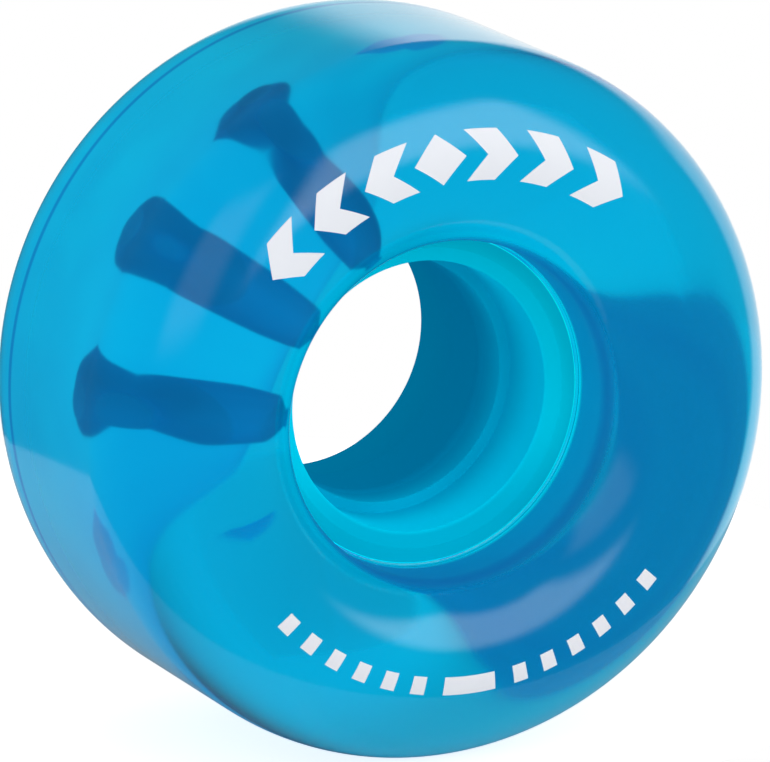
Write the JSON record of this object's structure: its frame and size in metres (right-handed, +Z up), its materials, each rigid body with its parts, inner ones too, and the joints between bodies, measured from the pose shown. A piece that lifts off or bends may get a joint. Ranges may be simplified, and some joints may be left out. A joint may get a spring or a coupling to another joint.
{
  "type": "roller skate wheel",
  "caption": "Rounded wheel for a quad roller skate: a clear cast tyre locked onto a moulded core by headed pegs, with a bearing seat in each end of its bore.",
  "frame": {"origin": "the wheel's centre, on the axle's line and midway between the two side crests of the tyre", "axes": "+Y along the axle, away from the printed front face, whose recess is the deeper one; +Z up"},
  "size_m": [0.058, 0.033, 0.058],
  "materials": {
    "clear_urethane": "clear blue cast urethane, glossy as it left the mould",
    "core_plastic": "tinted moulded plastic, smooth"
  },
  "bodies": {
    "root": {"tyre": "clear_urethane", "core": "core_plastic"}
  },
  "joints": []
}
